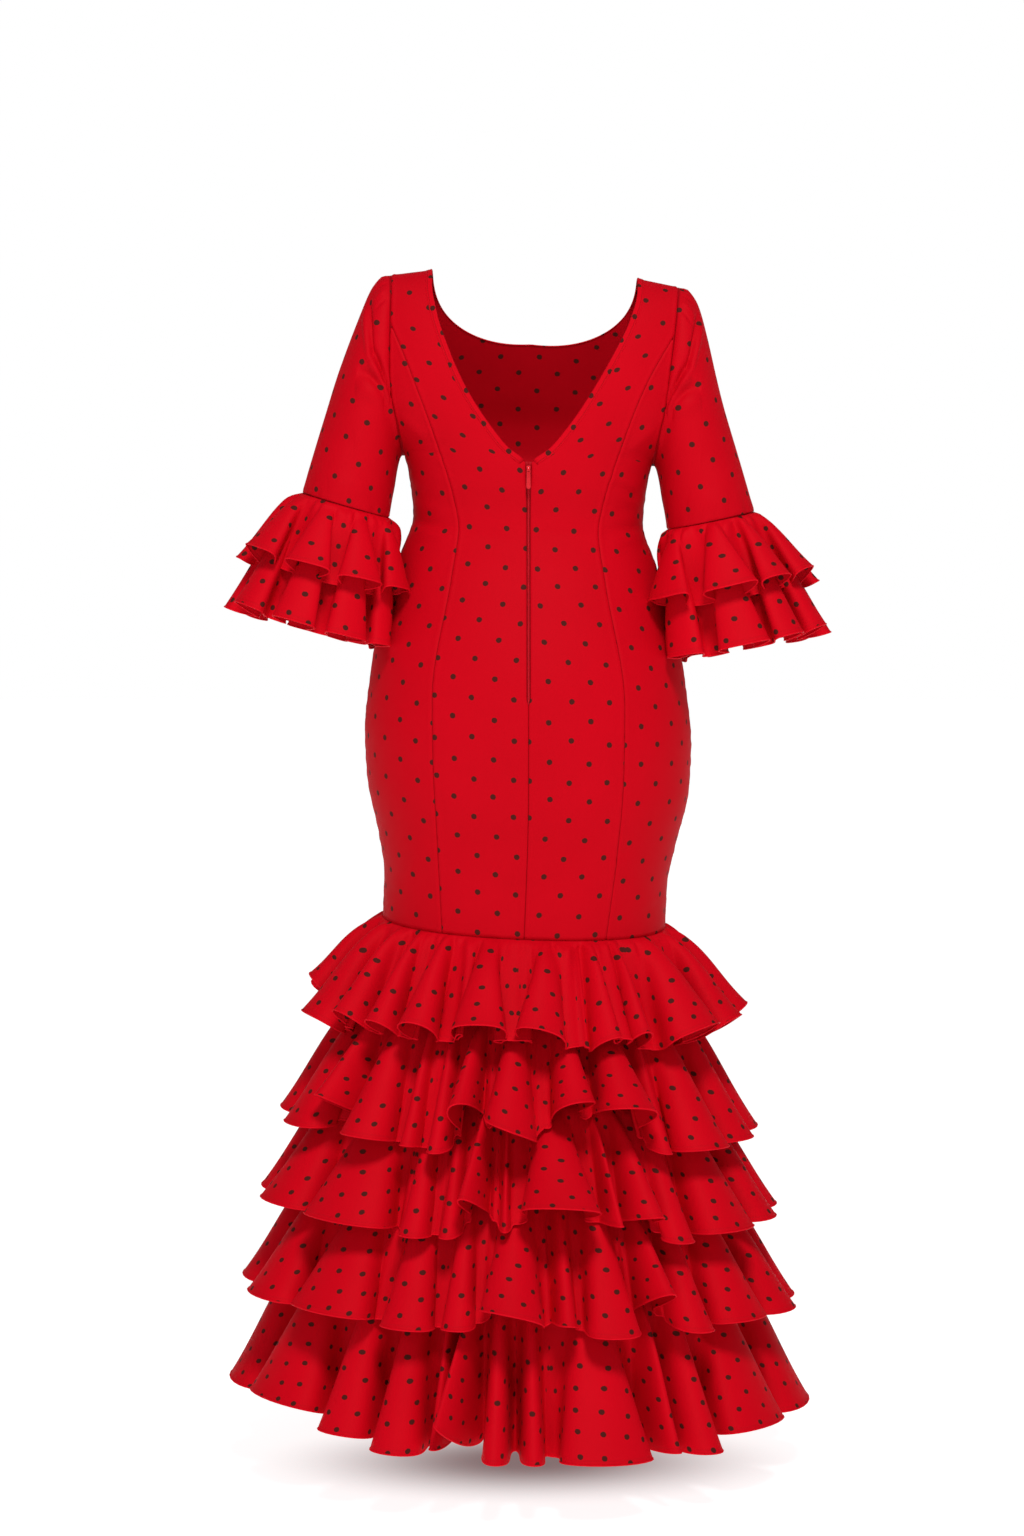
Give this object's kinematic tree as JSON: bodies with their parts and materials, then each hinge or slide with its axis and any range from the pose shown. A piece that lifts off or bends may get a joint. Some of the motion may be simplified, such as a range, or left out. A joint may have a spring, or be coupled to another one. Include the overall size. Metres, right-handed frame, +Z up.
{
  "type": "flamenco dress",
  "caption": "Worn flamenco dress in red polka dot crepe, with a deep V back, centre zip, ruffled three-quarter sleeves and fluted flounces below the knee.",
  "frame": {"origin": "midway between the two points where the neck edge crosses the shoulder seams, where the wearer's shoulders hold the dress up", "axes": "+Z up, the wearer faces -Y, so the back with the V neck and the zip faces +Y, and +X is the wearer's left"},
  "size_m": [0.7426, 0.6493, 1.4233],
  "materials": {
    "crepe": "smooth crepe with a slight sheen and dark polka dots",
    "edge_band": "stitched edge of the same crepe",
    "zip_tape": "woven tape",
    "zip_metal": "red enamel on cast metal"
  },
  "bodies": {
    "dress": {"back_centre_left": "crepe", "back_centre_right": "crepe", "back_side_left": "crepe", "back_side_right": "crepe", "front_centre": "crepe", "front_side_left": "crepe", "front_side_right": "crepe", "neck_band_back_left": "edge_band", "neck_band_back_right": "edge_band", "neck_band_front": "edge_band", "sleeve_left": "crepe", "sleeve_right": "crepe", "cuff_ruffle_under_left": "crepe", "cuff_ruffle_under_right": "crepe", "cuff_ruffle_top_left": "crepe", "cuff_ruffle_top_right": "crepe", "underskirt": "crepe", "flounce_1": "crepe", "flounce_2": "crepe", "flounce_3": "crepe", "flounce_4": "crepe", "flounce_5": "crepe", "zip_tape_left": "zip_tape", "zip_tape_right": "zip_tape", "zip_slider": "zip_metal", "zip_bail": "zip_metal"},
    "zip_pull_tab": {"zip_pull": "zip_metal"}
  },
  "joints": [
    {"name": "zip_pull_hinge", "type": "hinge", "parent": "dress", "child": "zip_pull_tab", "pos_m": [0, 0.10174, -0.23705], "axis": [1, 0, 0], "range_deg": [-8, 170]}
  ]
}
